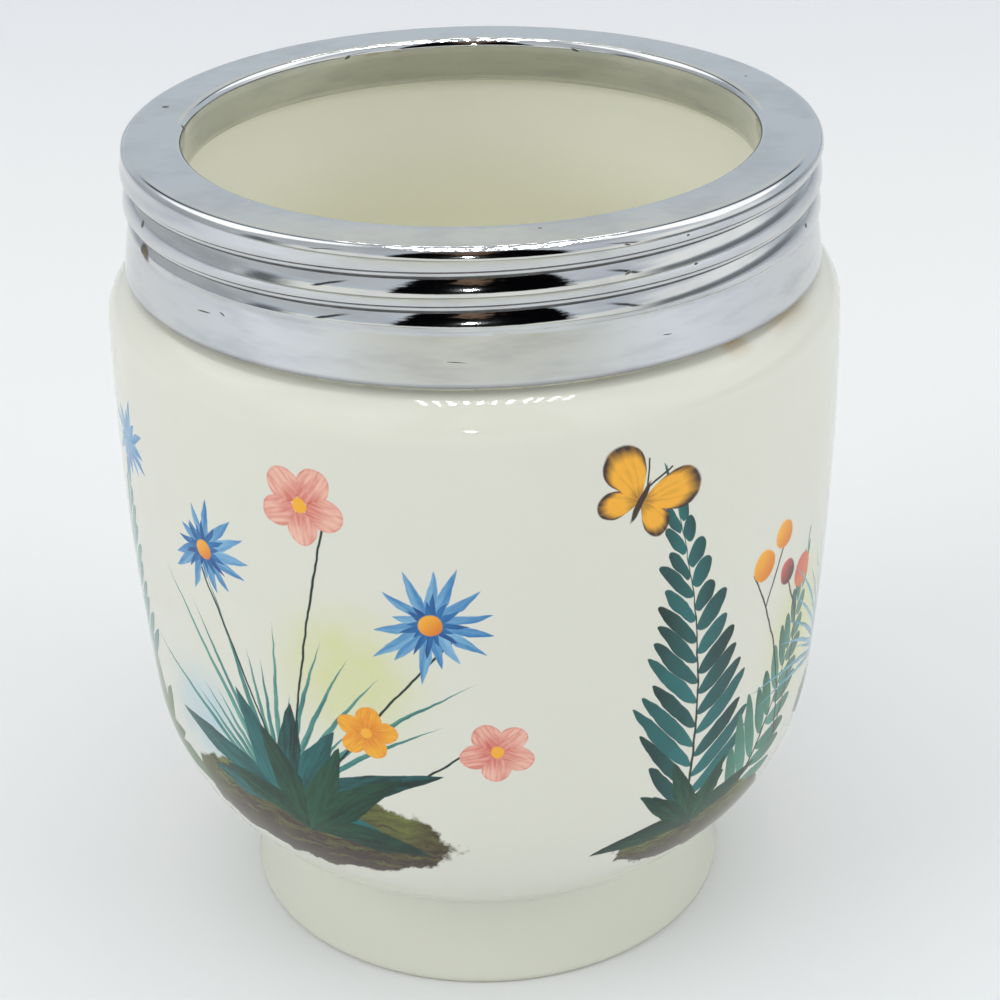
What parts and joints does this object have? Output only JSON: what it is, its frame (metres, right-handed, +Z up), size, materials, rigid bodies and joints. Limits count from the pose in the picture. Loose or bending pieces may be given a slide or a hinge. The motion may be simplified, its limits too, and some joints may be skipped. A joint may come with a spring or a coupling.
{
  "type": "porcelain egg coddler",
  "caption": "Bellied porcelain egg coddler cup on a foot ring, with a screw-threaded chromed collar cemented round its open mouth.",
  "frame": {"origin": "centre of the cup, on the plane that the foot ring stands on", "axes": "+Z up the cup's own axis, out of the mouth; -Y is the front; +X is to the right seen from the front"},
  "size_m": [0.0636, 0.0636, 0.0738],
  "materials": {
    "porcelain": "glossy white glaze",
    "chromed_brass": "polished chrome plate, lightly worn",
    "cement": "matt, yellowed"
  },
  "bodies": {
    "root": {"porcelain_cup": "porcelain", "threaded_collar": "chromed_brass", "collar_cement": "cement"}
  },
  "joints": []
}
